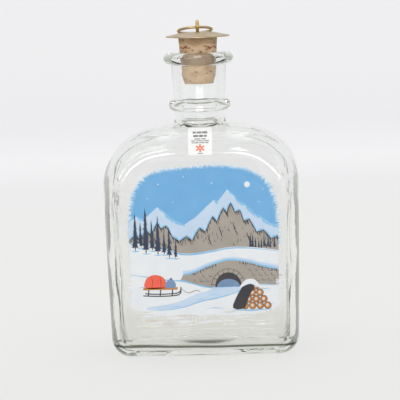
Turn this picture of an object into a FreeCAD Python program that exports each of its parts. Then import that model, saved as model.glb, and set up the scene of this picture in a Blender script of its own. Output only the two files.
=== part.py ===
"""A clear glass dram bottle with a cork stopper, a brass cap disc, a screw eye and a loose pull ring.

Millimetres. The origin is the middle of the foot, on the plane that the bottle stands on: +Z up,
-Y the decorated front, +X to the right of someone looking at the front.
"""
import FreeCAD, Part
import math
import os

import Sketcher

SIZES = {
    # arched body
    "body_width": 140.3,        # across the sides where the shoulder begins
    "foot_width": 134.2,        # across the sides at the foot: the sides lean out a little
    "body_depth": 66.0,
    "body_height": 168.8,       # foot to the top of the arch
    "shoulder_rise": 45.8,      # from where the straight sides end to the top of the arch
    "shoulder_radius": 38.9,
    "foot_radius": 14.0,        # lower corners in the front view
    # rounding between the flat faces and the foot, the sides and the top of the arch
    "foot_rounding": 12.0,
    "side_rounding": 15.0,
    "top_rounding": 22.0,
    # glass thickness
    "side_wall": 4.8,
    "face_wall": 4.4,
    "base_wall": 6.5,
    # punt: the hump in the floor and the hollow under the foot
    "hump_height": 4.5,
    "hump_length": 70.0,
    "hump_breadth": 50.0,
    "punt_height": 3.5,
    "punt_length": 84.0,
    "punt_breadth": 24.0,
    # neck, collar and lip
    "neck_radius": 18.4,
    "neck_top_radius": 19.7,
    "bore_radius": 13.3,
    "flare_radius": 4.0,        # neck to shoulder, outside
    "throat_radius": 6.0,       # neck to shoulder, inside
    "flare_sink": 0.4,          # how far the end of either one reaches past the arch
    "collar_radius": 22.5,
    "collar_height": 8.2,
    "collar_rise": 10.7,        # middle of the collar above the arch
    "collar_curve": 4.6,
    "mouth_rise": 48.6,         # mouth plane above the arch
    "lip_radius": 25.3,
    "lip_depth": 8.9,           # underside to top of the lip ring
    "lip_under": 5.2,           # underside to the widest point
    "lip_crown": 21.5,          # radius at which the top of the lip starts to turn down
    "lip_curve": 5.6,
    "mouth_round": 1.8,
    # cork
    "cork_clearance": 0.05,
    "cork_taper": 0.071,        # radius gained for each millimetre of height
    "cork_stand": 12.9,         # above the mouth
    "cork_reach": 16.3,         # below the mouth, down to the nose
    "cork_nose": 6.0,
    "cork_nose_inset": 1.75,
    # brass cap disc
    "disc_radius": 22.9,
    "disc_thickness": 1.1,
    "disc_drop": 2.45,          # apex to the top of the rim
    "disc_rim": 0.7,            # thickness at the rim
    "disc_seat_margin": 0.4,    # flat underside beyond the cork
    "disc_crown_inset": 3.07,   # from the edge of the seat in to where the top turns level
    # screw eye
    "eye_wire": 2.4,
    "eye_outer": 8.9,
    "shank_length": 16.0,
    "shank_tip": 3.0,
    "shank_clearance": 0.05,
    # pull ring
    "ring_wire": 1.9,
    "ring_outer": 26.4,
    "ring_gap": 0.3,            # kept between the ring and the eye
    "rim_gap": 0.42,            # kept between the ring and the disc's rim, straight down
    "ring_turn": 11.0,          # degrees that the ring lies round to the left of straight back
    # paper sticker on the front shoulder
    "label_width": 17.0,
    "label_height": 18.8,       # as seen from the front
    "label_corner": 1.2,
    "label_thickness": 0.2,
    "label_drop": 22.7,         # top of the arch to the sticker's lower edge
    "label_offset": 0.6,        # middle of the sticker from the middle of the bottle
}


class Size:
    """A size worked out from the sheet: its value, and the expression that gives that value."""

    def __init__(self, value, text):
        self.value = float(value)
        self.text = text

    def __add__(self, other):
        other = as_size(other)
        return Size(self.value + other.value, f"({self.text} + {other.text})")

    def __sub__(self, other):
        other = as_size(other)
        return Size(self.value - other.value, f"({self.text} - {other.text})")

    def __mul__(self, other):
        other = as_size(other)
        return Size(self.value * other.value, f"({self.text} * {other.text})")

    def __truediv__(self, other):
        other = as_size(other)
        return Size(self.value / other.value, f"({self.text} / {other.text})")

    def __neg__(self):
        return Size(-self.value, f"(0 - {self.text})")


def as_size(number):
    return number if isinstance(number, Size) else Size(number, repr(float(number)))


def root(size):
    return Size(math.sqrt(size.value), f"sqrt({size.text})")


def greater(one, other):
    return Size(max(one.value, other.value), f"max({one.text}; {other.text})")


def lesser(one, other):
    return Size(min(one.value, other.value), f"min({one.text}; {other.text})")


def sine(degrees):
    return Size(math.sin(math.radians(degrees.value)), f"sin({degrees.text})")


def cosine(degrees):
    return Size(math.cos(math.radians(degrees.value)), f"cos({degrees.text})")


def arcsine(ratio):
    """The angle, in degrees."""
    return Size(math.degrees(math.asin(ratio.value)), f"(asin({ratio.text}) / 1 deg)")


def bind(thing, prop, size):
    thing.setExpression(prop, as_size(size).text)


# document and sheet

doc = FreeCAD.newDocument("dram_bottle")
sheet = doc.addObject("Spreadsheet::Sheet", "Sizes")
for row, (alias, number) in enumerate(SIZES.items(), start=1):
    sheet.set(f"A{row}", alias)
    sheet.set(f"B{row}", str(number))
    sheet.setAlias(f"B{row}", alias)
doc.recompute()


def size(alias):
    return Size(SIZES[alias], f"Sizes.{alias}")


# sketch and feature helpers


def new_body(label):
    body = doc.addObject("PartDesign::Body", label)
    body.Label = label
    return body


def origin_plane(body, role):
    return next(feature for feature in body.Origin.OriginFeatures if feature.Role == role)


def new_sketch(body, name, role="XZ_Plane"):
    sketch = body.newObject("Sketcher::SketchObject", name)
    sketch.AttachmentSupport = [(origin_plane(body, role), "")]
    sketch.MapMode = "FlatFace"
    return sketch


def arc_through(start, end, radius, turn):
    """The short arc from start to end. turn is 1 where it bends left along its way, -1 right."""
    (x0, z0), (x1, z1) = start, end
    chord = math.hypot(x1 - x0, z1 - z0)
    rise = math.sqrt(max(radius ** 2 - chord ** 2 / 4, 0.0))
    centre_x = (x0 + x1) / 2 - turn * rise * (z1 - z0) / chord
    centre_z = (z0 + z1) / 2 + turn * rise * (x1 - x0) / chord
    first, last = (start, end) if turn > 0 else (end, start)
    begin = math.atan2(first[1] - centre_z, first[0] - centre_x)
    finish = math.atan2(last[1] - centre_z, last[0] - centre_x)
    circle = Part.Circle(FreeCAD.Vector(centre_x, centre_z, 0), FreeCAD.Vector(0, 0, 1), radius)
    return Part.ArcOfCircle(circle, begin, finish)


def pin(sketch, geometry, point, kind, axis, coordinate):
    """Holds one coordinate of a point: on the axis where it is 0, otherwise at its size."""
    if not isinstance(coordinate, Size):
        sketch.addConstraint(Sketcher.Constraint("PointOnObject", geometry, point, axis))
        return
    index = sketch.addConstraint(
        Sketcher.Constraint(kind, -1, 1, geometry, point, coordinate.value)
    )
    bind(sketch, f"Constraints[{index}]", coordinate)


def draw_outline(sketch, corners):
    """A closed outline. Each corner is (x, z) or (x, z, radius, turn), where the edge that leads
    to the next corner is an arc. A coordinate of plain 0 lies on the sketch's own axis."""
    count = len(corners)
    place = [tuple(as_size(c).value for c in corner[:2]) for corner in corners]
    starts = []
    ends = []
    for index, corner in enumerate(corners):
        start = place[index]
        end = place[(index + 1) % count]
        if len(corner) == 2:
            line = Part.LineSegment(FreeCAD.Vector(*start, 0), FreeCAD.Vector(*end, 0))
            sketch.addGeometry(line, False)
            starts.append(1)
            ends.append(2)
            continue
        radius, turn = corner[2:]
        sketch.addGeometry(arc_through(start, end, radius.value, turn), False)
        starts.append(1 if turn > 0 else 2)
        ends.append(2 if turn > 0 else 1)
    for index, corner in enumerate(corners):
        following = (index + 1) % count
        sketch.addConstraint(
            Sketcher.Constraint("Coincident", index, ends[index], following, starts[following])
        )
        pin(sketch, index, starts[index], "DistanceX", -2, corner[0])
        pin(sketch, index, starts[index], "DistanceY", -1, corner[1])
        if len(corner) == 4:
            held = sketch.addConstraint(Sketcher.Constraint("Radius", index, corner[2].value))
            bind(sketch, f"Constraints[{held}]", corner[2])


def pad(body, sketch, length):
    feature = body.newObject("PartDesign::Pad", sketch.Name + "_pad")
    feature.Profile = sketch
    feature.Midplane = True
    feature.Length = length.value
    bind(feature, "Length", length)
    doc.recompute()
    return feature


def revolve(body, sketch, axis="V_Axis"):
    feature = body.newObject("PartDesign::Revolution", sketch.Name + "_turned")
    feature.Profile = sketch
    feature.ReferenceAxis = (sketch, [axis])
    feature.Angle = 360
    doc.recompute()
    return feature


def boolean(kind, name, base, tool):
    result = doc.addObject("Part::" + kind, name)
    result.Base = base
    result.Tool = tool
    doc.recompute()
    return result


def cap_radius(chord, height):
    """Radius of the arc that stands as high as height on a chord."""
    return (chord * chord / 4 + height * height) / 2 / height


def make_lens(name, length, breadth, height, level):
    """A barrel lying along X, whose top stands out of the level as a cap of the size asked for."""
    body = new_body(name)
    sketch = new_sketch(body, name + "_section")
    middle = level + height - cap_radius(breadth, height)
    draw_outline(sketch, [
        (-length / 2, middle),
        (length / 2, middle),
        (length / 2, level, cap_radius(length, height), 1),
        (-length / 2, level),
    ])
    across = Part.LineSegment(
        FreeCAD.Vector(-length.value / 2, middle.value, 0),
        FreeCAD.Vector(length.value / 2, middle.value, 0),
    )
    axis = sketch.addGeometry(across, True)
    sketch.addConstraint(Sketcher.Constraint("Coincident", axis, 1, 0, 1))
    sketch.addConstraint(Sketcher.Constraint("Coincident", axis, 2, 0, 2))
    revolve(body, sketch, "Axis0")
    return body


# the arched form, outside and inside


class Arch:
    """An arch in the front view: straight sides that lean out, shoulder arcs, and a top arc.

    inset is the distance in from the outside of the glass.
    """

    def __init__(self, inset, bottom, corner_radius):
        spring = size("body_height") - size("shoulder_rise")
        lean = (size("body_width") - size("foot_width")) / 2 / spring
        slant = root(lean * lean + 1)
        self.bottom = bottom
        side_foot = size("foot_width") / 2 + lean * bottom - slant * inset
        side_top = size("body_width") / 2 - slant * inset
        shoulder = size("shoulder_radius") - inset
        corner_x = side_foot + corner_radius * (lean - slant)
        self.corner = (corner_x, bottom)
        self.side_start = (
            corner_x + corner_radius / slant,
            bottom + corner_radius - corner_radius * lean / slant,
        )
        self.side_end = (side_top, spring)
        self.corner_radius = corner_radius
        self.shoulder_radius = shoulder
        shoulder_x = side_top - shoulder / slant
        shoulder_z = spring + shoulder * lean / slant
        self.top = size("body_height") - inset
        rise = self.top - shoulder_z
        self.top_radius = (
            (rise * rise + shoulder_x * shoulder_x - shoulder * shoulder) / 2 / (rise - shoulder)
        )
        self.top_centre = self.top - self.top_radius
        reach = self.top_radius / (self.top_radius - shoulder)
        self.shoulder_end = (
            shoulder_x * reach,
            self.top_centre + (shoulder_z - self.top_centre) * reach,
        )

    def outline(self):
        (corner_x, bottom) = self.corner
        (start_x, start_z) = self.side_start
        (side_x, side_z) = self.side_end
        (end_x, end_z) = self.shoulder_end
        return [
            (-corner_x, bottom),
            (corner_x, bottom, self.corner_radius, 1),
            (start_x, start_z),
            (side_x, side_z, self.shoulder_radius, 1),
            (end_x, end_z, self.top_radius, 1),
            (-end_x, end_z, self.shoulder_radius, 1),
            (-side_x, side_z),
            (-start_x, start_z, self.corner_radius, 1),
        ]

    def height_at(self, distance):
        """Height of the top arc at a distance from the middle."""
        return self.top_centre + root(self.top_radius * self.top_radius - distance * distance)


def arched_form(label, arch, depth, inset):
    """The arch as deep as the body, its front and back edges rounded all the way round.

    The rounding is even round the foot, and grows up the sides and along the shoulders.
    """
    body = new_body(label + "_block")
    sketch = new_sketch(body, label + "_front")
    draw_outline(sketch, arch.outline())
    pad(body, sketch, depth)
    near = 0.01
    side_start = arch.side_start[1].value + near
    side_end = arch.side_end[1].value + near

    def rounding(point):
        if point.z < side_start:
            return size("foot_rounding") - inset
        return size("top_rounding" if point.z > side_end else "side_rounding") - inset

    edges = []
    for number, edge in enumerate(body.Shape.Edges, start=1):
        if abs(abs(edge.CenterOfMass.y) - depth.value / 2) < near:
            first = rounding(edge.firstVertex().Point).value
            last = rounding(edge.lastVertex().Point).value
            edges.append((number, first, last))
    form = doc.addObject("Part::Fillet", label)
    form.Base = body
    form.Edges = edges
    doc.recompute()
    return form


def round_edge_level(arch, depth, inset, distance):
    """Height of the rounded top edge at a distance from the middle, measured front to back."""
    rounding = size("top_rounding") - inset
    past = greater(distance - (depth / 2 - rounding), as_size(0.0))
    return arch.top - rounding + root(rounding * rounding - past * past)


# glass

mouth = size("body_height") + size("mouth_rise")
hollow_depth = size("body_depth") - size("face_wall") * 2
outer_arch = Arch(as_size(0.0), as_size(0.0), size("foot_radius"))
inner_arch = Arch(size("side_wall"), size("base_wall"), size("foot_radius") - size("side_wall"))


def flare_foot(arch, depth, inset, distance):
    """Where a flare as wide as distance ends: just inside the arch, all the way round."""
    across = arch.height_at(distance)
    along = round_edge_level(arch, depth, inset, distance)
    return lesser(across, along) - size("flare_sink")


def neck_outline():
    """The neck in half section, from inside the shoulder up to the mouth."""
    neck = size("neck_radius")
    flare = size("flare_radius")
    foot = flare_foot(outer_arch, size("body_depth"), as_size(0.0), neck + flare)
    collar = size("body_height") + size("collar_rise")
    half_collar = size("collar_height") / 2
    lip_bottom = mouth - size("lip_depth")
    curve = size("collar_curve")
    return [
        (0, foot - flare),
        (neck + flare, foot - flare),
        (neck + flare, foot, flare, -1),
        (neck, foot + flare),
        (neck, collar - half_collar, curve, 1),
        (size("collar_radius"), collar, curve, 1),
        (neck, collar + half_collar),
        (size("neck_top_radius"), lip_bottom, size("lip_curve"), 1),
        (size("lip_radius"), lip_bottom + size("lip_under"), size("lip_curve"), 1),
        (size("lip_crown"), mouth),
        (0, mouth),
    ]


def bore_outline():
    """The hollow of the neck in half section, from the top of the body's hollow to the mouth."""
    bore = size("bore_radius")
    throat = size("throat_radius")
    edge = size("mouth_round")
    foot = flare_foot(inner_arch, hollow_depth, size("face_wall"), bore + throat)
    return [
        (0, foot - throat),
        (bore + throat, foot - throat),
        (bore + throat, foot, throat, -1),
        (bore, foot + throat),
        (bore, mouth - edge, edge, -1),
        (bore + edge, mouth),
        (bore + edge, mouth + edge),
        (0, mouth + edge),
    ]


def turned(label, outline):
    body = new_body(label)
    sketch = new_sketch(body, label + "_section")
    draw_outline(sketch, outline)
    revolve(body, sketch)
    return body


def make_glass():
    """The outer form less the hollow, with a hump in the floor and a punt under the foot."""
    block = arched_form("block", outer_arch, size("body_depth"), as_size(0.0))
    outside = boolean("Fuse", "outside", block, turned("neck", neck_outline()))
    chamber = arched_form("chamber", inner_arch, hollow_depth, size("face_wall"))
    hump = make_lens(
        "hump", size("hump_length"), size("hump_breadth"), size("hump_height"), size("base_wall")
    )
    room = boolean("Cut", "room", chamber, hump)
    hollow = boolean("Fuse", "hollow", room, turned("bore", bore_outline()))
    shell = boolean("Cut", "shell", outside, hollow)
    punt = make_lens(
        "punt", size("punt_length"), size("punt_breadth"), size("punt_height"), as_size(0.0)
    )
    return boolean("Cut", "glass_bottle", shell, punt), block


# sticker


def make_label(block):
    """A thin sheet that follows the rounded shoulder: a grown copy of the body, cut to the
    sticker's outline, with the body taken away."""
    thickness = size("label_thickness")
    skin_arch = Arch(-thickness, -thickness, size("foot_radius") + thickness)
    skin = arched_form("label_skin", skin_arch, size("body_depth") + thickness * 2, -thickness)
    blank = new_body("label_blank")
    sketch = new_sketch(blank, "label_outline")
    left = size("label_offset") - size("label_width") / 2
    right = size("label_offset") + size("label_width") / 2
    low = size("body_height") - size("label_drop")
    high = low + size("label_height")
    corner = size("label_corner")
    draw_outline(sketch, [
        (left + corner, low),
        (right - corner, low, corner, 1),
        (right, low + corner),
        (right, high - corner, corner, 1),
        (right - corner, high),
        (left + corner, high, corner, 1),
        (left, high - corner),
        (left, low + corner, corner, 1),
    ])
    sheet_pad = pad(blank, sketch, size("body_depth"))
    sheet_pad.Midplane = False
    sheet_pad.Reversed = False
    doc.recompute()
    return boolean("Cut", "label", boolean("Common", "label_sheet", skin, blank), block)


# stopper

cork_top = mouth + size("cork_stand")
cork_mouth_radius = size("bore_radius") - size("cork_clearance")
cork_top_radius = cork_mouth_radius + size("cork_taper") * size("cork_stand")
disc_apex = cork_top + size("disc_thickness")
eye_middle = disc_apex + size("eye_outer") / 2
shank_radius = size("eye_wire") / 2
shank_hole = shank_radius + size("shank_clearance")
shank_end = disc_apex - size("shank_length")


def make_cork():
    """A tapered cork with a pilot hole for the screw eye's shank."""
    nose = mouth - size("cork_reach")
    nose_radius = cork_mouth_radius - size("cork_taper") * size("cork_reach")
    end = nose - size("cork_nose")
    clearance = size("shank_clearance")
    return turned("cork", [
        (0, end),
        (nose_radius - size("cork_nose_inset"), end),
        (nose_radius, nose),
        (cork_top_radius, cork_top),
        (shank_hole, cork_top),
        (shank_hole, shank_end + size("shank_tip") - clearance),
        (0, shank_end - clearance),
    ])


def make_disc():
    """A spun brass disc, flat where it sits on the cork and sloping down to a thin rim."""
    flat = cork_top_radius + size("disc_seat_margin")
    rim = disc_apex - size("disc_drop")
    return turned("cap_disc", [
        (shank_hole, cork_top),
        (flat, cork_top),
        (size("disc_radius"), rim - size("disc_rim")),
        (size("disc_radius"), rim),
        (flat - size("disc_crown_inset"), disc_apex),
        (shank_hole, disc_apex),
    ])


def make_eye():
    """A wire loop that stands on the disc, with a pointed shank down into the cork."""
    wire = size("eye_wire") / 2
    loop = size("eye_outer") / 2 - wire
    body = new_body("screw_eye")
    sketch = new_sketch(body, "loop_section")
    centre = FreeCAD.Vector(0, (eye_middle + loop).value, 0)
    circle = Part.Circle(centre, FreeCAD.Vector(0, 0, 1), wire.value)
    sketch.addGeometry(circle, False)
    across = Part.LineSegment(
        FreeCAD.Vector(-1, eye_middle.value, 0), FreeCAD.Vector(1, eye_middle.value, 0)
    )
    axis = sketch.addGeometry(across, True)
    sketch.addConstraint(Sketcher.Constraint("Horizontal", axis))
    pin(sketch, axis, 1, "DistanceX", -2, as_size(-1.0))
    pin(sketch, axis, 1, "DistanceY", -1, eye_middle)
    pin(sketch, axis, 2, "DistanceX", -2, as_size(1.0))
    pin(sketch, 0, 3, "DistanceX", -2, 0)
    pin(sketch, 0, 3, "DistanceY", -1, eye_middle + loop)
    held = sketch.addConstraint(Sketcher.Constraint("Radius", 0, wire.value))
    bind(sketch, f"Constraints[{held}]", wire)
    revolve(body, sketch, "Axis0")
    sketch = new_sketch(body, "shank_section")
    draw_outline(sketch, [
        (0, shank_end),
        (shank_radius, shank_end + size("shank_tip")),
        (shank_radius, disc_apex + shank_radius),
        (0, disc_apex + shank_radius),
    ])
    revolve(body, sketch)
    return body


def make_ring():
    """A wire ring through the eye, lying back with its far side on the disc's rim."""
    wire = size("ring_wire") / 2
    ring = size("ring_outer") / 2 - wire
    hinge = disc_apex + size("eye_wire") + wire + size("ring_gap")
    rim = disc_apex - size("disc_drop")
    drop = hinge - wire - size("rim_gap") - rim
    rest_run = (size("disc_radius") * size("disc_radius") + drop * drop) / (ring * 2)
    slope = arcsine(drop / rest_run)
    turn = size("ring_turn")
    flat_run = ring * cosine(slope)
    torus = doc.addObject("Part::Torus", "pull_ring")
    bind(torus, "Radius1", ring)
    bind(torus, "Radius2", wire)
    middle = "; ".join(
        part.text
        for part in (-flat_run * sine(turn), flat_run * cosine(turn), hinge - ring * sine(slope))
    )
    torus.setExpression(
        "Placement",
        f"placement(vector({middle}); rotation(vector(0; 0; 1); {turn.text})"
        f" * rotation(vector(-1; 0; 0); {slope.text}))",
    )
    doc.recompute()
    swing = 180 - 2 * slope.value
    print(f"ring hinge height {hinge.value:.3f} mm, swing {swing:.2f} degrees")
    return torus


# build, check and write

glass_bottle, block_form = make_glass()
NODES = {
    "glass_bottle": glass_bottle,
    "label": make_label(block_form),
    "cork": make_cork(),
    "cap_disc": make_disc(),
    "screw_eye": make_eye(),
    "pull_ring": make_ring(),
}
doc.recompute()

for thing in doc.Objects:
    if "Invalid" in thing.State or "Error" in thing.State:
        raise RuntimeError(f"{thing.Label} failed: {thing.State}")
os.makedirs("parts", exist_ok=True)
for name, thing in NODES.items():
    thing.Label = name
    shape = thing.Shape
    if shape.isNull() or not shape.isValid() or len(shape.Solids) != 1:
        raise RuntimeError(f"{name} is not one valid solid")
for name, thing in NODES.items():
    thing.Shape.exportStep(f"parts/{name}.step")
    box = thing.Shape.BoundBox
    print(
        f"{name}: {thing.Shape.Volume / 1000:.3f} cm3,"
        f" x {box.XMin:.2f} {box.XMax:.2f}, y {box.YMin:.2f} {box.YMax:.2f},"
        f" z {box.ZMin:.2f} {box.ZMax:.2f}"
    )
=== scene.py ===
"""Dressed scene of a clear glass dram bottle with a cork stopper, a brass disc and a pull ring.

Metres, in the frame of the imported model: +Z up, -Y the decorated front, the foot on z = 0.
"""

import math
import random

import bpy
from mathutils import Matrix, Vector
from mathutils.geometry import tessellate_polygon


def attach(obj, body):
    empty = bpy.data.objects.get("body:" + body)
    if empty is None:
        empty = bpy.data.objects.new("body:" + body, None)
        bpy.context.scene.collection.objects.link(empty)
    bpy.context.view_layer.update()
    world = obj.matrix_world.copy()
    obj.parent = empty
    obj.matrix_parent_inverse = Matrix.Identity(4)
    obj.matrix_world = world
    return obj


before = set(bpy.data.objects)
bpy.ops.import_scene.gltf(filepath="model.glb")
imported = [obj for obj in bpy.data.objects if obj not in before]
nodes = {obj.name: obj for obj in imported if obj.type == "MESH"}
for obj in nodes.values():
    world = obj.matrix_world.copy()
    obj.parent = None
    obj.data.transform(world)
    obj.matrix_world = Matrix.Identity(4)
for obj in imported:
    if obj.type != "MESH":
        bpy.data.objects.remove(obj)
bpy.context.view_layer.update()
scene = bpy.context.scene
MM = 0.001


# materials


def srgb(r, g, b):
    """A colour written as 0 to 255 screen values, made linear, with full alpha."""
    def linear(value):
        v = value / 255
        return v / 12.92 if v <= 0.04045 else ((v + 0.055) / 1.055) ** 2.4
    return (linear(r), linear(g), linear(b), 1.0)


class Shader:
    """A material with one Principled node, and short calls for the nodes that feed it."""

    def __init__(self, name, color=None, roughness=0.5, metallic=0.0, **sockets):
        self.material = bpy.data.materials.new(name)
        self.material.use_nodes = True
        self.tree = self.material.node_tree
        self.nodes = self.tree.nodes
        self.links = self.tree.links
        self.surface = self.nodes["Principled BSDF"]
        self.output = self.nodes["Material Output"]
        if color is not None:
            self.surface.inputs["Base Color"].default_value = color
            self.material.diffuse_color = color
        self.surface.inputs["Roughness"].default_value = roughness
        self.surface.inputs["Metallic"].default_value = metallic
        for socket, value in sockets.items():
            self.surface.inputs[socket.replace("_", " ")].default_value = value
        self.place = None

    def put(self, kind, **values):
        node = self.nodes.new(kind)
        for key, value in values.items():
            if key in node.inputs:
                node.inputs[key].default_value = value
            else:
                setattr(node, key, value)
        return node

    def join(self, source, target):
        self.links.new(source, target)

    def coordinates(self, scale=(1, 1, 1), turn=(0, 0, 0)):
        """Object coordinates, stretched and turned."""
        place = self.put("ShaderNodeTexCoord")
        mapping = self.put("ShaderNodeMapping")
        mapping.inputs["Scale"].default_value = scale
        mapping.inputs["Rotation"].default_value = turn
        self.join(place.outputs["Object"], mapping.inputs["Vector"])
        return mapping.outputs["Vector"]

    def noise(self, scale, detail=2.0, roughness=0.5, stretch=(1, 1, 1), turn=(0, 0, 0)):
        node = self.put("ShaderNodeTexNoise", Scale=scale, Detail=detail, Roughness=roughness)
        self.join(self.coordinates(stretch, turn), node.inputs["Vector"])
        return node.outputs["Fac"]

    def ramp(self, factor, *stops):
        """Colours by position, each stop being (position, colour)."""
        node = self.put("ShaderNodeValToRGB")
        band = node.color_ramp
        while len(band.elements) < len(stops):
            band.elements.new(0.5)
        for element, (position, color) in zip(band.elements, stops):
            element.position = position
            element.color = color
        self.join(factor, node.inputs["Fac"])
        return node.outputs["Color"]

    def spread(self, factor, low, high, start=0.0, end=1.0):
        node = self.put("ShaderNodeMapRange")
        for socket, value in (("From Min", start), ("From Max", end), ("To Min", low), ("To Max", high)):
            node.inputs[socket].default_value = value
        self.join(factor, node.inputs["Value"])
        return node.outputs["Result"]

    def math(self, operation, *values):
        node = self.put("ShaderNodeMath", operation=operation)
        for socket, value in zip(node.inputs, values):
            if isinstance(value, (int, float)):
                socket.default_value = value
            else:
                self.join(value, socket)
        return node.outputs["Value"]

    def mix(self, factor, one, other, blend="MIX"):
        node = self.put("ShaderNodeMix", data_type="RGBA", blend_type=blend)
        for socket, value in ((node.inputs[0], factor), (node.inputs[6], one), (node.inputs[7], other)):
            if isinstance(value, (int, float, tuple)):
                socket.default_value = value
            else:
                self.join(value, socket)
        return node.outputs[2]

    def bump(self, height, strength, distance=0.001, below=None):
        node = self.put("ShaderNodeBump", Strength=strength, Distance=distance)
        self.join(height, node.inputs["Height"])
        if below is not None:
            self.join(below, node.inputs["Normal"])
        return node.outputs["Normal"]

    def set(self, **sockets):
        for socket, source in sockets.items():
            self.join(source, self.surface.inputs[socket.replace("_", " ")])
        return self


SPRING = 0.123    # height at which the sides start to curve into the arch
CORE = 0.0312     # distance from the middle at which the shoulder's curve is centred
HEEL_SHADE_HEIGHT = 0.0088     # height of the painted shade line round the foot, where the base's outline shows through the glass
MAX_GLOSSY, MAX_THROUGH = 2.5, 9.5    # bounces after which a ray goes straight on through the glass


def clear_glass():
    """Pale soda-lime glass, wavier near its outline, as a bottle blown into a mould is.

    A ray that has used up its bounces passes on, dimmed by a painted shade that changes with height, instead
    of ending black at the glass's edges.
    """
    glass = Shader("bottle_glass", (1.0, 1.0, 1.0, 1.0), 0.0, IOR=1.5, Transmission_Weight=1.0)
    place = glass.put("ShaderNodeSeparateXYZ")
    glass.join(glass.coordinates(), place.inputs["Vector"])
    x, y, z = (place.outputs[axis] for axis in "XYZ")
    aside = glass.math("MAXIMUM", glass.math("SUBTRACT", glass.math("ABSOLUTE", x), CORE), 0.0)
    above = glass.math("MAXIMUM", glass.math("SUBTRACT", z, SPRING), 0.0)
    squares = glass.math("ADD", glass.math("POWER", aside, 2.0), glass.math("POWER", above, 2.0))
    reach = glass.math("SQRT", squares)
    along = glass.put("ShaderNodeCombineXYZ")
    glass.join(reach, along.inputs["X"])
    glass.join(glass.math("MULTIPLY", y, 0.6), along.inputs["Y"])
    glass.join(glass.math("MULTIPLY", z, 0.22), along.inputs["Z"])
    waves = glass.put("ShaderNodeTexNoise", Scale=75.0, Detail=1.0, Roughness=0.4)
    glass.join(along.outputs["Vector"], waves.inputs["Vector"])
    body = glass.spread(z, 1.0, 0.0, 0.158, 0.170)
    edge = glass.math("MULTIPLY", glass.spread(reach, 0.10, 1.0, 0.011, 0.029), body)
    wander = glass.math("MULTIPLY", glass.math("SUBTRACT", glass.noise(24.0, 2.0, 0.5), 0.5), 0.006)
    crease_reach = glass.spread(z, 0.0324, 0.0262, 0.105, 0.150)
    inner = glass.math("SUBTRACT", glass.math("ADD", reach, wander), crease_reach)
    crease = glass.math("MULTIPLY", glass.spread(inner, 0.0, 1.0, -0.0012, 0.0012), body)
    soft = glass.bump(glass.noise(34.0, 3.0, 0.5), 0.30, 0.0022)
    wavy = glass.bump(glass.math("MULTIPLY", waves.outputs["Fac"], edge), 0.6, 0.008, soft)
    glass.set(Normal=glass.bump(crease, 0.7, 0.0006, wavy))
    tone = glass.ramp(
        z,
        (0.0, (0.92, 0.92, 0.89, 1)), (0.022, (0.91, 0.91, 0.885, 1)), (0.045, (0.97, 0.975, 0.965, 1)),
        (0.165, (0.97, 0.975, 0.965, 1)), (0.180, (0.98, 0.985, 0.98, 1)),
    )
    # painted shade: a near-black line round the foot, on the front only, where the base's outline shows
    # through the glass
    drift = glass.math("MULTIPLY", glass.math("SUBTRACT", glass.noise(16.0, 1.0, 0.4), 0.5), 0.004)
    away = glass.math("ABSOLUTE", glass.math("SUBTRACT", glass.math("ADD", z, drift), HEEL_SHADE_HEIGHT))
    front = glass.spread(y, 1.0, 0.0, -0.02, -0.01)
    heel_shade = glass.math("MULTIPLY", glass.spread(away, 1.0, 0.0, 0.0006, 0.0014), front)
    glass.set(Base_Color=glass.mix(heel_shade, tone, (0.03, 0.033, 0.018, 1)))
    path = glass.put("ShaderNodeLightPath")
    inside = glass.math("GREATER_THAN", path.outputs["Glossy Depth"], MAX_GLOSSY)
    deep = glass.math("GREATER_THAN", path.outputs["Transmission Depth"], MAX_THROUGH)
    spent = glass.put("ShaderNodeMixShader")
    dim = glass.put("ShaderNodeBsdfTransparent")
    # painted shade by height for spent rays: darkest in the lower body and at the lip, near clear at the
    # neck's base
    spent_ray_shade = glass.ramp(
        z,
        (0.100, (0.44, 0.46, 0.42, 1)), (0.150, (0.76, 0.78, 0.74, 1)), (0.160, (0.97, 0.98, 0.96, 1)),
        (0.178, (0.97, 0.98, 0.96, 1)), (0.182, (0.80, 0.82, 0.78, 1)), (0.196, (0.74, 0.76, 0.72, 1)),
        (0.204, (0.42, 0.44, 0.40, 1)),
    )
    glass.join(spent_ray_shade, dim.inputs["Color"])
    glass.join(glass.math("MAXIMUM", inside, deep), spent.inputs["Fac"])
    glass.join(glass.surface.outputs["BSDF"], spent.inputs[1])
    glass.join(dim.outputs["BSDF"], spent.inputs[2])
    both = glass.put("ShaderNodeMixShader")
    passing = glass.put("ShaderNodeBsdfTransparent", Color=(0.955, 0.965, 0.955, 1.0))
    glass.join(path.outputs["Is Shadow Ray"], both.inputs["Fac"])
    glass.join(spent.outputs["Shader"], both.inputs[1])
    glass.join(passing.outputs["BSDF"], both.inputs[2])
    glass.join(both.outputs["Shader"], glass.output.inputs["Surface"])
    tint = glass.put("ShaderNodeVolumeAbsorption", Color=(0.76, 0.80, 0.72, 1.0), Density=5.0)
    glass.join(tint.outputs["Volume"], glass.output.inputs["Volume"])
    return glass.material


CORK_ENDS = (0.195, 0.2303)
CRACK = 0.2205


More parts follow.
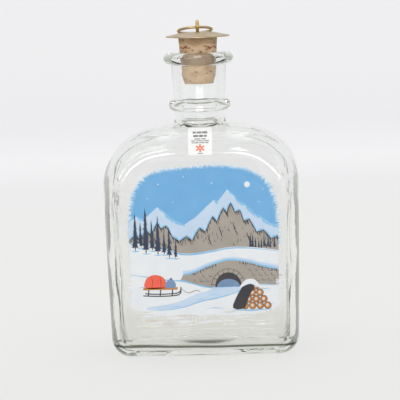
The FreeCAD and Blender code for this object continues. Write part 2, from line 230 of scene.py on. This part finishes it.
def cork_bark():
    """Tan cork with dark pores and a reddish crack, and painted shade behind the lip and under the disc."""
    cork = Shader("cork_bark", srgb(204, 176, 142), 0.85)
    broad = cork.noise(110.0, 4.0, 0.55, (1.0, 1.0, 1.8))
    grain = cork.noise(900.0, 4.0, 0.65)
    base = cork.ramp(
        broad, (0.32, srgb(192, 156, 118)), (0.50, srgb(216, 186, 148)), (0.68, srgb(230, 206, 174))
    )
    color = cork.mix(cork.spread(grain, 0.0, 0.30, 0.40, 0.75), base, srgb(158, 118, 84))
    flecks = cork.put("ShaderNodeTexVoronoi", Scale=170.0, Randomness=1.0)
    cork.join(cork.coordinates((1.0, 1.0, 2.2)), flecks.inputs["Vector"])
    pores = cork.spread(flecks.outputs["Distance"], 1.0, 0.0, 0.06, 0.20)
    color = cork.mix(pores, color, srgb(104, 70, 50))
    place = cork.put("ShaderNodeSeparateXYZ")
    cork.join(cork.coordinates(), place.inputs["Vector"])
    drift = cork.math("MULTIPLY", cork.math("SUBTRACT", cork.noise(160.0, 3.0), 0.5), 0.008)
    height = cork.math("ADD", place.outputs["Z"], drift)
    away = cork.math("ABSOLUTE", cork.math("SUBTRACT", height, CRACK))
    broken = cork.spread(cork.noise(230.0, 2.0), 0.0, 1.0, 0.46, 0.56)
    seam = cork.math("MULTIPLY", cork.spread(away, 1.0, 0.0, 0.0004, 0.0010), broken)
    color = cork.mix(seam, color, srgb(150, 74, 54))
    low, high = CORK_ENDS
    # painted shade by height: darkest behind the lip and under the disc, a little darker inside the neck
    stops = (
        (0.1950, 0.86), (0.2085, 0.82), (0.2105, 0.43), (0.2168, 0.41), (0.2180, 1.0), (0.2222, 0.96),
        (0.2240, 0.66), (0.2303, 0.56),
    )
    share = cork.spread(height, 0.0, 1.0, low, high)
    painted_shade = cork.ramp(share, *(((z - low) / (high - low), (v, v ** 1.08, v ** 1.2, 1)) for z, v in stops))
    cork.set(Base_Color=cork.mix(1.0, color, painted_shade, "MULTIPLY"))
    relief = cork.bump(grain, 0.35, 0.0006)
    cork.set(Normal=cork.bump(cork.math("MAXIMUM", pores, seam), 0.6, -0.0008, relief))
    return cork.material


def brass(name, color, shade, roughness):
    """Worn brass: two tones in clouds, rougher where it is darker."""
    metal = Shader(name, color, roughness, 1.0)
    cloud = metal.noise(120.0, 4.0, 0.55)
    metal.set(
        Base_Color=metal.ramp(cloud, (0.30, shade), (0.65, color)),
        Roughness=metal.spread(cloud, roughness + 0.10, roughness - 0.06, 0.3, 0.7),
    )
    fine = metal.noise(1400.0, 2.0)
    metal.set(Normal=metal.bump(fine, 0.10, 0.0002))
    return metal.material


def paint(name, color, other=None, roughness=0.32, scale=70.0):
    """Printed enamel: a flat colour with faint clouds, as ink lies on glass."""
    enamel = Shader(name, color, roughness)
    cloud = enamel.noise(scale, 4.0, 0.6, (1.0, 1.0, 1.3))
    enamel.set(Base_Color=enamel.ramp(cloud, (0.32, other or color), (0.68, color)))
    return enamel.material


def dress(node, material):
    piece = nodes[node]
    piece.data.materials.clear()
    piece.data.materials.append(material)


dress("glass_bottle", clear_glass())
dress("cork", cork_bark())
dress("cap_disc", brass("satin_brass", srgb(200, 183, 153), srgb(177, 157, 124), 0.36))
dress("screw_eye", brass("bright_brass", srgb(206, 180, 112), srgb(172, 142, 80), 0.20))
dress("pull_ring", brass("ring_brass", srgb(198, 175, 130), srgb(166, 143, 100), 0.24))
dress("label", paint("sticker_paper", srgb(247, 247, 244), srgb(240, 240, 237), 0.55, 240.0))


# printed picture: a winter valley in flat enamel colours on the front face, drawn in millimetres


INKS = {
    "under": (srgb(238, 239, 238), srgb(230, 232, 232)),
    "mist": (srgb(208, 221, 230), srgb(218, 226, 232)),
    "fringe": (srgb(156, 196, 226), srgb(176, 207, 230)),
    "sky": (srgb(102, 165, 211), srgb(110, 171, 215)),
    "snow": (srgb(228, 230, 230), srgb(221, 225, 228)),
    "shade": (srgb(194, 212, 229), srgb(184, 205, 225)),
    "ice": (srgb(142, 194, 226), srgb(126, 181, 217)),
    "rock": (srgb(165, 157, 146), srgb(155, 147, 137)),
    "line": (srgb(44, 42, 46), srgb(58, 54, 58)),
    "fir": (srgb(36, 46, 66), srgb(50, 64, 90)),
    "wood": (srgb(196, 128, 56), srgb(178, 110, 44)),
    "red": (srgb(236, 98, 70), srgb(228, 88, 62)),
    "coral": (srgb(240, 134, 104), srgb(236, 122, 92)),
    "slate": (srgb(118, 148, 180), srgb(104, 132, 166)),
    "sand": (srgb(214, 209, 200), srgb(206, 199, 187)),
    "haze": (srgb(222, 222, 218), srgb(214, 214, 209)),
    "grey": (srgb(120, 118, 116), srgb(138, 136, 134)),
}
FACE = -33.0       # the front face of the glass
FILM = 0.012       # how much further out each layer of ink lies
FINE = 0.0015      # between shapes of one layer, so that none lie in the same plane
TURNS = 8          # shapes before that small step starts again
LEFT, RIGHT = -51.8, 54.2
MIDDLE = (1.5, 80)
dice = random.Random(7)


class Print:
    """Collects flat shapes by ink. A later layer lies one film further out."""

    def __init__(self, name, lift=0.0):
        self.name = name
        self.lift = lift
        self.layer = 0
        self.shapes = {ink: [] for ink in INKS}

    def next(self):
        self.layer += 1

    def fill(self, ink, points):
        self.shapes[ink].append((self.layer, list(points)))

    def stroke(self, ink, points, width, taper=True, jitter=0.0):
        """A brush line, thin at its ends where it tapers."""
        left, right = [], []
        last = len(points) - 1
        for index, (x, z) in enumerate(points):
            x0, z0 = points[max(index - 1, 0)]
            x1, z1 = points[min(index + 1, last)]
            length = math.hypot(x1 - x0, z1 - z0) or 1.0
            share = 1.0 - abs(2 * index / last - 1) ** 2 if taper else 1.0
            half = width / 2 * (0.25 + 0.75 * share) * (1 + dice.uniform(-jitter, jitter))
            left.append((x - (z1 - z0) / length * half, z + (x1 - x0) / length * half))
            right.append((x + (z1 - z0) / length * half, z - (x1 - x0) / length * half))
        self.fill(ink, left + right[::-1])

    def dot(self, ink, x, z, radius, sides=10, flat=1.0):
        turn = 2 * math.pi / sides
        self.fill(ink, [
            (x + radius * math.cos(turn * k), z + radius * flat * math.sin(turn * k))
            for k in range(sides)
        ])

    def make(self, surface=lambda x, z: FACE * MM):
        for ink, shapes in self.shapes.items():
            if not shapes:
                continue
            verts, faces = [], []
            for index, (layer, points) in enumerate(shapes):
                flat = [Vector((x, z, 0)) for x, z in points]
                base = len(verts)
                lift = (self.lift + FILM * (layer + 1) + FINE * (index % TURNS)) * MM
                verts += [(x * MM, surface(x * MM, z * MM) - lift, z * MM) for x, z in points]
                for a, b, c in tessellate_polygon([flat]):
                    normal = (flat[b] - flat[a]).cross(flat[c] - flat[a]).z
                    face = (a, b, c) if normal > 0 else (a, c, b)
                    faces.append(tuple(base + corner for corner in face))
            mesh = bpy.data.meshes.new(self.name + ink)
            mesh.from_pydata(verts, [], faces)
            piece = bpy.data.objects.new(self.name + ink, mesh)
            scene.collection.objects.link(piece)
            mesh.materials.append(paint("ink_" + ink, *INKS[ink]))
            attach(piece, "bottle")


def smooth(points, steps=4, closed=False):
    """A Catmull-Rom line through the points."""
    count = len(points)
    line = []
    for index in range(count if closed else count - 1):
        places = [index + k for k in (-1, 0, 1, 2)]
        near = [points[k % count if closed else min(max(k, 0), count - 1)] for k in places]
        for step in range(steps):
            t = step / steps
            line.append(tuple(
                0.5 * (
                    2 * b + (c - a) * t + (2 * a - 5 * b + 4 * c - d) * t * t
                    + (3 * b - a - 3 * c + d) * t ** 3
                )
                for a, b, c, d in zip(*near)
            ))
    return line if closed else line + [points[-1]]


def rough(points, size, step=1.2):
    """The line cut into short runs, each point pushed to one side or the other."""
    line = []
    for (x0, z0), (x1, z1) in zip(points, points[1:]):
        length = math.hypot(x1 - x0, z1 - z0)
        runs = max(1, round(length / step))
        for k in range(runs):
            push = dice.uniform(-size, size)
            line.append((
                x0 + (x1 - x0) * k / runs - (z1 - z0) / length * push,
                z0 + (z1 - z0) * k / runs + (x1 - x0) / length * push,
            ))
    return line + [points[-1]]


def conifer(art, x, z, height, lean=0.0):
    """A thin fir: a trunk and ragged drooping boughs that widen downwards."""
    levels = max(5, int(height / 1.7))
    drop = height / levels
    for level in range(levels):
        share = (level + 0.5) / levels
        top = z + height * (1 - share * 0.92)
        middle = x + lean * (1 - share)
        reach = height * 0.115 * share + 0.4
        sides = [[(middle, top + drop * 1.5)], []]
        for way, side in ((-1, sides[0]), (1, sides[1])):
            wide = reach * dice.uniform(0.65, 1.2) * way
            for out, down in ((1.0, 0.66), (0.62, 0.22), (0.48, 0.66), (0.22, 0.34)):
                side.append((middle + wide * out, top - drop * down * dice.uniform(0.8, 1.2)))
        art.fill("fir", sides[0] + [(middle, top - drop * 0.6)] + sides[1][::-1])
    art.stroke("fir", [(x, z), (x, z + height * 0.1)], height * 0.015 + 0.35, False)


def hatch(art, start, end, count, length, lean=0.2, width=0.75):
    """Short strokes that hang from a line, thick where they start, as ink shading does."""
    for k in range(count):
        share = (k + dice.uniform(0.1, 0.9)) / count
        x = start[0] + (end[0] - start[0]) * share
        z = start[1] + (end[1] - start[1]) * share + 0.2
        drop = length * dice.uniform(0.4, 1.0)
        wide = width * dice.uniform(0.6, 1.1) / 2
        art.fill("line", [
            (x - wide, z), (x - wide * 0.7 + lean * drop * 0.6, z - drop * 0.6), (x + lean * drop, z - drop),
            (x + wide * 0.7 + lean * drop * 0.6, z - drop * 0.6), (x + wide, z),
        ])


def fray(art, ink, line, middle, reach, step=0.7):
    """Dry brush ends that stand out from the line, away from the middle."""
    points = rough(line, 0.25, step)
    for (x0, z0), (x1, z1) in zip(points, points[1:]):
        side = 1 if x0 > middle else -1
        length = math.hypot(x1 - x0, z1 - z0) or 1.0
        along = ((x1 - x0) / length, (z1 - z0) / length)
        out = (-along[1] + 0.8 * side * abs(along[1]), along[0] + 0.15)
        run = reach * dice.uniform(0.1, 1.0)
        wide = dice.uniform(0.25, 0.6)
        tip = ((-1, -1.2), (-0.8, run * 0.6), (0, run), (0.8, run * 0.5), (1, -1.2))
        art.fill(ink, [
            (x0 + along[0] * wide * side_on + out[0] * far, z0 + along[1] * wide * side_on + out[1] * far)
            for side_on, far in tip
        ])


def draw_sky(art):
    """A blue sky whose edge breaks up into dry brush ends."""
    top = smooth([
        (-50, 84), (-50, 92), (-49.5, 104), (-48.5, 112), (-46.5, 119.5), (-41, 128), (-33.5, 133.6),
        (-22, 135.8), (-8, 136.8), (6, 137.6), (20, 136.8), (30.5, 135.2), (38.5, 132.2), (45, 126.5),
        (49.5, 118.5), (52, 108), (53, 97), (53, 88), (53, 80),
    ], 5)
    mid_x, mid_z = MIDDLE

    def grown(scale):
        return [(mid_x + (x - mid_x) * scale, mid_z + (z - mid_z) * scale) for x, z in top]

    base = [(53, 74), (-50, 74)]
    ground = [(53, 42), (49, 36), (40, 33.5), (-30, 32.5), (-43, 35), (-49.5, 39)]
    art.fill("under", grown(0.975) + ground)
    art.next()
    for ink, grow, reach in (("mist", 1.010, 2.2), ("fringe", 0.996, 2.2), ("sky", 0.978, 2.6)):
        ring = grown(grow)
        art.fill(ink, ring + base)
        art.next()
        fray(art, ink, ring, mid_x, reach)
        art.next()
    for x, z, radius in (
        (-30, 126, 0.5), (-12, 131, 0.4), (-38, 116, 0.4), (8, 126, 0.45), (44, 121, 0.4), (41, 112, 0.4),
        (-20, 113, 0.35),
    ):
        art.dot("snow", x, z, radius)
    art.dot("mist", 33, 124.5, 2.1, 20)
    art.next()
    art.dot("snow", 32.8, 124.7, 1.7, 20)


def draw_peaks(art):
    """Snow peaks with bare rock below their ragged snow lines."""
    crest = [
        (-51.8, 99), (-46, 103.5), (-41, 101), (-31, 110), (-27, 107), (-20, 100.5), (-12, 97), (-4, 102),
        (4, 109.5), (9, 114), (12, 113), (19, 121.5), (23, 118), (27, 112.5), (31, 111), (38, 103.5),
        (42, 102), (49, 96.5), (54.3, 95),
    ]
    art.fill("shade", rough(crest, 0.12) + [(54.3, 66), (LEFT, 66)])
    art.next()
    for index, (start, end) in enumerate(zip(crest, crest[1:])):
        if end[1] < start[1]:
            drop = 1.6 if index % 2 else 2.4
            art.fill("ice", [
                start, end, (end[0] + 0.4, end[1] - drop), (start[0] + 1.6, start[1] - drop * 1.9)
            ])
    snowline = [
        (-51.8, 87), (-47, 91), (-44.5, 87.5), (-39.5, 94), (-36, 90.5), (-31.5, 99.5), (-29, 95), (-25, 97),
        (-21, 89), (-16, 85.5), (-11, 89), (-7, 86), (-1.5, 95), (2.5, 92), (8, 103), (11, 99), (15.5, 109),
        (18, 105.5), (21, 112.5), (24, 105.5), (27.5, 107), (30, 99), (34, 100.5), (39, 91), (44, 92.5),
        (49, 86), (54.2, 88),
    ]
    art.next()
    art.fill("rock", rough(snowline, 0.25) + [(RIGHT, 66), (LEFT, 66)])
    art.next()
    for start, end in zip(snowline, snowline[1:]):
        half_way = ((start[0] + end[0]) / 2, (start[1] + end[1]) / 2 + 0.2)
        art.stroke("ice", [start, half_way, end], 1.5, True, 0.2)
    art.next()
    for start, end in zip(snowline, snowline[1:]):
        low = (start[0], start[1] - 0.9), (end[0], end[1] - 0.9)
        art.stroke("line", rough(list(low), 0.12, 0.8), 0.65, True, 0.3)
        hatch(art, *low, 5, 4.2, 0.25)
    cracks = ((-34, 88, 6), (-24, 84, 5), (4, 89, 7), (12, 95, 8), (22, 98, 9), (32, 90, 7), (44, 84, 5))
    for x, z, run in cracks:
        foot = (x + run * 0.3, z - run)
        art.stroke("line", rough([(x, z), foot], 0.3, 0.9), 0.6, True, 0.4)
        hatch(art, (x, z), foot, 5, 2.2, 0.9)


def draw_clefts(art, count=64):
    """Short dark marks scattered over the bare rock."""
    art.next()
    for k in range(count):
        x = -49 + 101 * (k + dice.random()) / count
        z = 83 + dice.uniform(0.0, 16.0) * max(0.25, 1 - abs(x - 20) / 40)
        run = dice.uniform(1.2, 3.2)
        art.stroke("line", [(x, z), (x + run * 0.1, z - run * 0.5), (x + run * 0.3, z - run)], 0.42)


def draw_valley(art):
    """The snow field with firs on its left slope and a small row of them far off."""
    art.next()
    for k in range(9):
        x = 34 + k * 2.1 + dice.uniform(-0.5, 0.5)
        z = 79 + dice.uniform(-0.6, 0.6)
        conifer(art, x, z, dice.uniform(5, 9))
    art.next()
    field = smooth([
        (LEFT, 84), (-44, 85), (-34, 83), (-24, 79), (-12, 76), (4, 77.5), (20, 80), (36, 79.5), (RIGHT, 77),
    ])
    art.fill("snow", field + [(RIGHT, 44), (LEFT, 44)])
    art.next()
    art.stroke("ice", [(x, z - 0.8) for x, z in field], 1.3, True, 0.2)
    art.next()
    for x, z, height in (
        (-47.5, 79, 25), (-43.5, 81, 17), (-40, 77, 31), (-35.5, 79, 20), (-31.5, 76, 26), (-27, 76, 15),
        (-23.5, 73.5, 20), (-19, 73, 12),
    ):
        conifer(art, x, z, height, dice.uniform(-0.4, 0.4))
        art.stroke("ice", [(x - 3, z - 0.4), (x, z - 0.8), (x + 3.4, z - 0.3)], 0.9)


def draw_bridge(art):
    """A humped stone footbridge with snow on its parapet and one dark arch."""
    art.next()
    deck = smooth([(-14, 61), (-6, 63), (6, 68), (18, 71), (30, 70), (42, 66.5), (54, 64)])
    art.fill("rock", deck + [(54, 50.5), (42, 52), (30, 51), (4, 51.5), (-8, 53.5), (-16, 57)])
    art.next()
    mid, foot = 18, 51.3

    def curve(wide, high, turn):
        return (mid + wide * math.cos(turn), foot + high * math.sin(turn))

    arch = [curve(9.5, 10.5, math.pi * k / 16) for k in range(17)]
    art.fill("line", arch)
    art.next()
    art.fill("slate", [(mid + (x - mid) * 0.86, foot + (z - foot) * 0.55) for x, z in arch])
    for k in range(9):
        angle = math.pi * (k + 0.5) / 9
        art.stroke("line", [curve(9.5, 10.5, angle), curve(12, 13, angle)], 0.35, False)
    ring = [curve(12.1, 13.1, math.pi * k / 20) for k in range(21)]
    art.stroke("line", rough(ring, 0.1, 0.8), 0.32, False, 0.3)
    for row, z in enumerate((55.5, 59, 62.5)):
        for x in (-11, -6.5, -2, 2.5, 33, 37.5, 42, 46.5, 51):
            x += 2.0 * (row % 2) + dice.uniform(-0.5, 0.5)
            if z < 52 + (x + 16) * 0.5:
                run = dice.uniform(1.4, 3.6)
                for ends in ((run, (-0.2, 0.3)), (0, (1.5, 3.0))):
                    joint = [(x, z), (x + ends[0], z + dice.uniform(*ends[1]))]
                    art.stroke("line", rough(joint, 0.1, 0.7), 0.3, True, 0.3)
    hatch(art, (-8, 61.5), (10, 68), 14, 2.8, 0.1)
    hatch(art, (26, 69.4), (53, 63.4), 20, 2.8, 0.1)
    art.next()
    art.stroke("shade", [(x, z + 1.1) for x, z in deck], 3.6, False, 0.05)
    art.next()
    art.stroke("ice", [(x, z - 0.2) for x, z in deck], 1.3, False, 0.15)
    art.stroke("snow", [(x, z + 2.5) for x, z in deck], 1.4, True, 0.2)


def draw_foreground(art):
    """Snow banks, the frozen stream, and brushed ends along the bottom of the picture."""
    art.next()
    bank = smooth([
        (LEFT, 62), (-40, 60), (-26, 57.5), (-14, 56.5), (-2, 53), (9, 51), (27, 51), (40, 53), (54, 52),
    ])
    bottom = [
        (54, 40), (50, 35), (40, 32.5), (24, 31), (6, 31.5), (-12, 30.5), (-30, 31.5), (-44, 34), (-51, 38),
    ]
    art.fill("snow", bank + rough(bottom, 0.6))
    art.next()
    fray(art, "snow", [(54, 56)] + bottom + [(-51, 60)], MIDDLE[0], 2.6, 1.3)
    for k in range(26):
        x, z, run = dice.uniform(-46, 36), dice.uniform(24.5, 32), dice.uniform(7, 15)
        ink = ("snow", "haze", "snow", "sand")[k % 4]
        sweep = [(x, z), (x + run / 2, z + dice.uniform(-0.5, 0.5)), (x + run, z)]
        art.stroke(ink, sweep, dice.uniform(0.6, 1.6))
        if k % 6 == 5:
            art.next()
    art.next()
    art.stroke("ice", [(x, z - 0.4) for x, z in bank], 1.0, True, 0.3)
    stream = smooth([
        (10, 51), (27, 51), (24, 47.5), (12, 44), (-2, 41.3), (-12, 38), (-24, 35.8), (-38, 35.5),
        (-40, 37.6), (-26, 39.5), (-15, 42.3), (-7, 46), (3, 48.8),
    ], 3, True)
    art.fill("shade", stream)
    art.next()
    art.stroke("ice", stream[:len(stream) // 2 + 2], 0.8, True, 0.3)
    for x, z, run in ((-6, 42.5, 7), (4, 45.5, 8), (-24, 37.6, 9), (-46, 52, 8), (38, 49, 10), (2, 36, 12)):
        art.stroke("ice", [(x, z), (x + run / 2, z + 0.5), (x + run, z)], 0.5)
    for x, z, run in ((14, 33.4, 9), (30, 35, 12), (-46, 34.6, 10), (-20, 31.6, 8), (44, 38.4, 7)):
        art.stroke("sand", [(x, z), (x + run / 2, z - 0.4), (x + run, z + 0.2)], 0.9, True, 0.3)


def draw_sledge(art):
    """A wooden sledge that carries a round red load and a tied sack, with its rope in the snow."""
    art.next()
    for rise in (0.0, 1.5):
        runner = smooth([
            (-43 + rise, 46.2 + rise), (-32, 45.6 + rise), (-20, 46 + rise), (-16.5, 47.6 + rise),
            (-16, 50.6 + rise),
        ])
        art.stroke("line", runner, 0.75, False)
    for x in (-39.5, -31, -22.5):
        art.stroke("line", [(x, 46), (x + 0.6, 50.4)], 0.8, False)
    art.next()
    art.fill("wood", [(-43, 50.2), (-18.6, 50.2), (-18.2, 51.9), (-42.8, 51.9)])
    load = [(-41, 51.6), (-27.5, 51.6), (-26.4, 55), (-28.4, 59), (-33, 61), (-38, 60.2), (-41.2, 57)]
    sack = [(-26.6, 51.7), (-20.2, 51.7), (-19.8, 55), (-21.8, 57.6), (-23, 59), (-24.4, 57.4), (-26.8, 55)]
    art.fill("red", smooth(load, 4, True))
    art.fill("slate", smooth(sack, 4, True))
    art.next()
    art.stroke("line", [(-23.9, 57.6), (-23, 57.9), (-22, 57.5)], 0.5)
    art.stroke("line", [(-36.5, 51.8), (-36, 56.5), (-37, 60)], 0.35)
    art.stroke("line", [(-30.5, 51.8), (-30.2, 56.5), (-31, 60.4)], 0.35)
    art.stroke("line", smooth([(-16.2, 51.4), (-11, 47.6), (-5, 49.4), (-2, 48)]), 0.35)


def draw_logs(art):
    """Logs stacked four high, half of them under a dark cover with snow on top."""
    art.next()
    size = 2.7
    logs = [
        (24 + 2 * size * k + size * row, 37.5 + 1.74 * size * row) for row in range(4) for k in range(5 - row)
    ]
    for x, z in logs:
        art.dot("line", x, z, size, 14)
    art.next()
    for x, z in logs:
        art.dot("wood", x, z, size * 0.87, 14)
    art.next()
    for x, z in logs:
        art.dot("sand", x - 0.2, z + 0.2, size * 0.42)
        art.stroke("line", [(x - 0.2, z + 0.2), (x + size * 0.6, z + size * 0.3)], 0.22)
    art.next()
    cover = [
        (20.8, 36), (23, 43), (27, 50), (31, 54.4), (35, 54.8), (36.4, 50.5), (33.4, 46), (31, 40),
        (28.5, 35.4),
    ]
    art.fill("line", smooth(cover, 3, True))
    art.next()
    cap = [(25.5, 50.4), (30, 56), (36, 56.6), (40, 52.8), (42, 49.4), (38, 51.5), (33.4, 53.4), (29.5, 52)]
    art.fill("snow", smooth(cap, 4, True))
    art.stroke("ice", [(27, 50.8), (30, 52.8), (34, 53.6), (38.4, 51.4), (41, 49.2)], 0.8)
    art.stroke("ice", [(20, 34.6), (34, 34), (49, 34.8)], 1.1)


def make_print():
    """The whole picture, from the sky forward."""
    art = Print("print_")
    for draw in (
        draw_sky, draw_peaks, draw_clefts, draw_valley, draw_bridge, draw_foreground, draw_sledge, draw_logs,
    ):
        draw(art)
    art.make()


def make_sticker():
    """Grey rules and a small six-armed star on the sticker, which curves over the shoulder."""
    sheet = nodes["label"]

    def skin(x, z):
        return sheet.ray_cast(Vector((x, -0.1, z)), Vector((0, 1, 0)))[1].y

    art = Print("sticker_", 0.08)
    middle, star = 0.6, 151.0
    for z, half, thick, gaps in (
        (161.7, 5.4, 1.3, (-2.6, 1.2)), (159.4, 5.0, 1.3, (-0.8, 2.6)), (157.4, 4.2, 0.6, (0.5,)),
        (156.1, 6.6, 0.6, (-3.1, 1.9)), (154.8, 6.2, 0.6, (-1.2, 3.4)), (147.3, 2.0, 0.5, ()),
    ):
        ends = [-half, *gaps, half]
        for left, right in zip(ends, ends[1:]):
            run = [(middle + left + 0.25 + (right - left - 0.5) * k / 4, z) for k in range(5)]
            art.stroke("grey", run, thick, False, 0.15)
    art.next()
    for k in range(6):
        angle = math.pi * (k / 3 + 1 / 6)
        way = (math.cos(angle), math.sin(angle))
        arm = [(middle + way[0] * r, star + way[1] * r * 0.85) for r in (0.5, 1.9, 3.3)]
        art.stroke("coral", arm, 1.25, False)
    art.make(skin)


make_print()
make_sticker()


# floor, backdrop, lamps and camera


def either(tree, *sources):
    """The largest of these values."""
    largest = sources[0]
    for source in sources[1:]:
        node = tree.nodes.new("ShaderNodeMath")
        node.operation = "MAXIMUM"
        tree.links.new(largest, node.inputs[0])
        tree.links.new(source, node.inputs[1])
        largest = node.outputs["Value"]
    return largest


def seen_rays(tree):
    """1 for rays that show the background to the camera, also in metal and through glass."""
    path = tree.nodes.new("ShaderNodeLightPath")
    names = ("Is Camera Ray", "Is Glossy Ray", "Is Transmission Ray")
    return either(tree, *(path.outputs[name] for name in names))


def sweep_paper():
    """Pale paper that keeps the object's shadow, with painted light that changes with depth: a little darker
    in front, a little brighter where it bends up.
    """
    paper = Shader("sweep_paper", srgb(238, 238, 237), 0.9)
    place = paper.put("ShaderNodeSeparateXYZ")
    paper.join(paper.coordinates(), place.inputs["Vector"])
    near, far = -0.4, 1.8
    depth = paper.spread(place.outputs["Y"], 0.0, 1.0, near, far)
    # painted light: the glow that the background shows, set by depth, brightest where the paper bends up
    stops = [
        ((y - near) / (far - near), srgb(*color)) for y, color in (
            (-0.15, (234, 234, 232)), (0.1, (237, 237, 235)), (0.8, (239, 239, 238)), (1.02, (242, 241, 243)),
            (1.22, (249, 248, 250)), (1.36, (240, 239, 242)), (1.5, (243, 243, 245)),
        )
    ]
    glow = paper.put("ShaderNodeEmission", Strength=1.0)
    paper.join(paper.ramp(depth, *stops), glow.inputs["Color"])
    both = paper.put("ShaderNodeMixShader")
    share = paper.math("MULTIPLY", seen_rays(paper.tree), 0.7)
    paper.join(share, both.inputs["Fac"])
    paper.join(paper.surface.outputs["BSDF"], both.inputs[1])
    paper.join(glow.outputs["Emission"], both.inputs[2])
    paper.join(both.outputs["Shader"], paper.output.inputs["Surface"])
    return paper.material


def make_stage():
    """A floor that rises into a backdrop in one sweep."""
    near, far, rise, bend = -3.0, 1.1, 2.6, 0.7
    profile = [(near, 0.0)]
    for step in range(25):
        angle = math.pi / 2 * step / 24
        profile.append((far + bend * math.sin(angle), bend * (1 - math.cos(angle))))
    profile.append((far + bend, rise))
    half = 3.5
    verts = [(x, y, z) for y, z in profile for x in (-half, half)]
    faces = [(2 * i, 2 * i + 1, 2 * i + 3, 2 * i + 2) for i in range(len(profile) - 1)]
    mesh = bpy.data.meshes.new("sweep")
    mesh.from_pydata(verts, [], faces)
    mesh.polygons.foreach_set("use_smooth", [True] * len(faces))
    sweep = bpy.data.objects.new("sweep", mesh)
    scene.collection.objects.link(sweep)
    sweep.data.materials.append(sweep_paper())


def lamp(name, place, aim, size, power):
    data = bpy.data.lights.new(name, "AREA")
    data.shape = "RECTANGLE"
    data.size, data.size_y = size
    data.energy = power
    obj = bpy.data.objects.new(name, data)
    scene.collection.objects.link(obj)
    obj.location = place
    obj.rotation_euler = (Vector(aim) - Vector(place)).to_track_quat("-Z", "Y").to_euler()


def make_light():
    """Soft light from every side, and a background that looks the same pale grey in glass and metal."""
    world = bpy.data.worlds.new("studio")
    scene.world = world
    world.use_nodes = True
    tree = world.node_tree
    lit = tree.nodes["Background"]
    lit.inputs["Color"].default_value = (0.98, 0.98, 1.0, 1.0)
    lit.inputs["Strength"].default_value = 0.72
    seen = tree.nodes.new("ShaderNodeBackground")
    seen.inputs["Color"].default_value = srgb(241, 241, 243)
    seen.inputs["Strength"].default_value = 1.0
    both = tree.nodes.new("ShaderNodeMixShader")
    tree.links.new(seen_rays(tree), both.inputs["Fac"])
    tree.links.new(lit.outputs["Background"], both.inputs[1])
    tree.links.new(seen.outputs["Background"], both.inputs[2])
    tree.links.new(both.outputs["Shader"], tree.nodes["World Output"].inputs["Surface"])
    lamp("key", (-1.0, -1.3, 1.6), (0, 0, 0.1), (0.9, 0.6), 3.5)
    lamp("fill", (1.3, -1.0, 1.2), (0, 0, 0.1), (0.8, 0.8), 1.5)
    lamp("top", (0.0, 0.2, 2.0), (0, 0, 0), (1.4, 1.4), 8.0)
    lamp("front_left", (-0.51, -2.4, 0.56), (-0.51, 0, 0.12), (0.78, 0.42), 6.1)
    lamp("front_right", (0.41, -2.4, 0.56), (0.41, 0, 0.12), (0.88, 0.42), 6.9)


def make_camera():
    """The view of the photograph: a little above and to the right, with a slight roll."""
    focal, pitch, yaw, roll = 1945.8, 7.325, -2.118, -1.700
    pitch, yaw, roll = (math.radians(angle) for angle in (pitch, yaw, roll))
    ahead = Vector((math.sin(yaw) * math.cos(pitch), math.cos(yaw) * math.cos(pitch), -math.sin(pitch)))
    right = ahead.cross(Vector((0, 0, 1))).normalized()
    up = right.cross(ahead)
    across = right * math.cos(roll) + up * math.sin(roll)
    above = up * math.cos(roll) - right * math.sin(roll)
    data = bpy.data.cameras.new("view")
    data.sensor_width = 36.0
    data.lens = 36.0 * focal / 400
    data.clip_start, data.clip_end = 0.05, 20.0
    camera = bpy.data.objects.new("view", data)
    scene.collection.objects.link(camera)
    turn = Matrix((across, above, -ahead)).transposed().to_4x4()
    camera.matrix_world = Matrix.Translation((0.050, -1.400, 0.290)) @ turn
    scene.camera = camera


make_stage()
make_light()
make_camera()
scene.view_settings.view_transform = "Standard"
